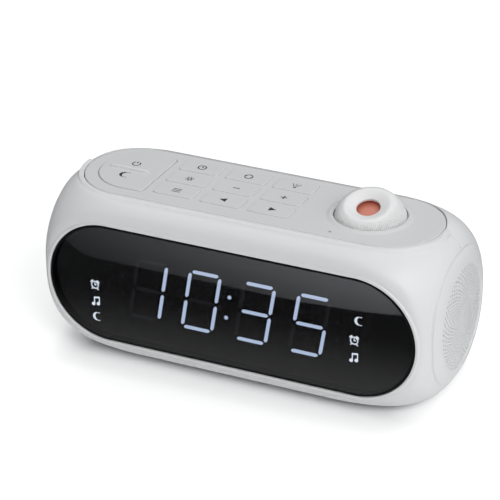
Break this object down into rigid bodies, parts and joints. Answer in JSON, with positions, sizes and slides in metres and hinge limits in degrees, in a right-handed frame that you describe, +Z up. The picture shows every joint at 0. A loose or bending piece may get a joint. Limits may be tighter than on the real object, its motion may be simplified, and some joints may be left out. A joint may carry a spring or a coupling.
{
  "type": "projection alarm clock",
  "caption": "Long rounded clock radio with LED display, key panel on top and a tilting projector ball with focus ring.",
  "frame": {"origin": "middle of the outer box on the table top, under the clock", "axes": "+X to the right seen from the front (projector side), +Y to the rear, +Z up; the display faces -Y"},
  "size_m": [0.1884, 0.0712, 0.0844],
  "materials": {
    "white_shell": "satin",
    "grey_panel": "satin",
    "smoked_lens": "polished",
    "black_plastic": "matte",
    "circuit_board": "solder mask",
    "lit_bars": "lit",
    "unlit_bars": "unlit",
    "projector_white": "satin",
    "projector_glass": "polished",
    "red_film": "gloss",
    "red_lamp": "gloss",
    "steel": "brushed",
    "speaker_paper": "paper",
    "magnet": "ground",
    "foot_rubber": "matte"
  },
  "bodies": {
    "case": {"front_housing": "white_shell", "rear_housing": "white_shell", "left_side_cap": "white_shell", "right_side_cap": "white_shell", "display_lens": "smoked_lens", "display_block": "black_plastic", "display_board": "circuit_board", "digit_bars_lit": "lit_bars", "digit_bars_unlit": "unlit_bars", "top_panel": "grey_panel", "key_board": "circuit_board", "key_switches": "black_plastic", "rocker_fulcrum": "black_plastic", "projector_cradle": "black_plastic", "speaker_frame": "steel", "speaker_cone": "speaker_paper", "speaker_magnet": "magnet", "main_board": "circuit_board", "power_inlet": "black_plastic", "cell_holder": "black_plastic", "backup_cell": "steel", "housing_screws": "steel", "rubber_feet": "foot_rubber"},
    "rocker": {"snooze_rocker": "grey_panel"},
    "key_front_left_body": {"key_front_left": "grey_panel"},
    "key_front_centre_body": {"key_front_centre": "grey_panel"},
    "key_front_right_body": {"key_front_right": "grey_panel"},
    "key_middle_left_body": {"key_middle_left": "grey_panel"},
    "key_middle_centre_body": {"key_middle_centre": "grey_panel"},
    "key_middle_right_body": {"key_middle_right": "grey_panel"},
    "key_rear_left_body": {"key_rear_left": "grey_panel"},
    "key_rear_centre_body": {"key_rear_centre": "grey_panel"},
    "key_rear_right_body": {"key_rear_right": "grey_panel"},
    "ball": {"projector_ball": "projector_white", "projector_film": "red_film", "projector_lamp": "red_lamp"},
    "ring": {"focus_ring": "projector_white"},
    "barrel": {"lens_barrel": "black_plastic", "projector_lens": "projector_glass"},
    "door": {"battery_door": "white_shell"}
  },
  "joints": [
    {"name": "snooze_rock", "type": "hinge", "parent": "case", "child": "rocker", "pos_m": [-0.0633, -0.00025, 0.07027], "axis": [1, 0, 0], "range_deg": [-2.5, 2.5], "stiffness_Nm_per_rad": 0.4},
    {"name": "key_front_left_press", "type": "slide", "parent": "case", "child": "key_front_left_body", "axis": [0, 0, -1], "range_m": [0, 0.0006], "stiffness_N_per_m": 2500},
    {"name": "key_front_centre_press", "type": "slide", "parent": "case", "child": "key_front_centre_body", "axis": [0, 0, -1], "range_m": [0, 0.0006], "stiffness_N_per_m": 2500},
    {"name": "key_front_right_press", "type": "slide", "parent": "case", "child": "key_front_right_body", "axis": [0, 0, -1], "range_m": [0, 0.0006], "stiffness_N_per_m": 2500},
    {"name": "key_middle_left_press", "type": "slide", "parent": "case", "child": "key_middle_left_body", "axis": [0, 0, -1], "range_m": [0, 0.0006], "stiffness_N_per_m": 2500},
    {"name": "key_middle_centre_press", "type": "slide", "parent": "case", "child": "key_middle_centre_body", "axis": [0, 0, -1], "range_m": [0, 0.0006], "stiffness_N_per_m": 2500},
    {"name": "key_middle_right_press", "type": "slide", "parent": "case", "child": "key_middle_right_body", "axis": [0, 0, -1], "range_m": [0, 0.0006], "stiffness_N_per_m": 2500},
    {"name": "key_rear_left_press", "type": "slide", "parent": "case", "child": "key_rear_left_body", "axis": [0, 0, -1], "range_m": [0, 0.0006], "stiffness_N_per_m": 2500},
    {"name": "key_rear_centre_press", "type": "slide", "parent": "case", "child": "key_rear_centre_body", "axis": [0, 0, -1], "range_m": [0, 0.0006], "stiffness_N_per_m": 2500},
    {"name": "key_rear_right_press", "type": "slide", "parent": "case", "child": "key_rear_right_body", "axis": [0, 0, -1], "range_m": [0, 0.0006], "stiffness_N_per_m": 2500},
    {"name": "projector_tilt", "type": "hinge", "parent": "case", "child": "ball", "pos_m": [0.04941, 0.00175, 0.07075], "axis": [1, 0, 0], "range_deg": [-60, 25]},
    {"name": "focus_turn", "type": "hinge", "parent": "ball", "child": "ring", "pos_m": [0.04941, 0.00175, 0.07075], "axis": [0, -0.3057, 0.9521], "range_deg": [-75, 75]},
    {"name": "focus_slide", "type": "slide", "parent": "ball", "child": "barrel", "axis": [0, -0.3057, 0.9521], "range_m": [-0.0009, 0.0009]},
    {"name": "battery_door_pull", "type": "slide", "parent": "case", "child": "door", "axis": [0, 1, 0], "range_m": [0, 0.012]}
  ],
  "couplings": [
    {"joint": "focus_turn", "follows": "focus_slide", "rad_per_m": 1333.3}
  ]
}
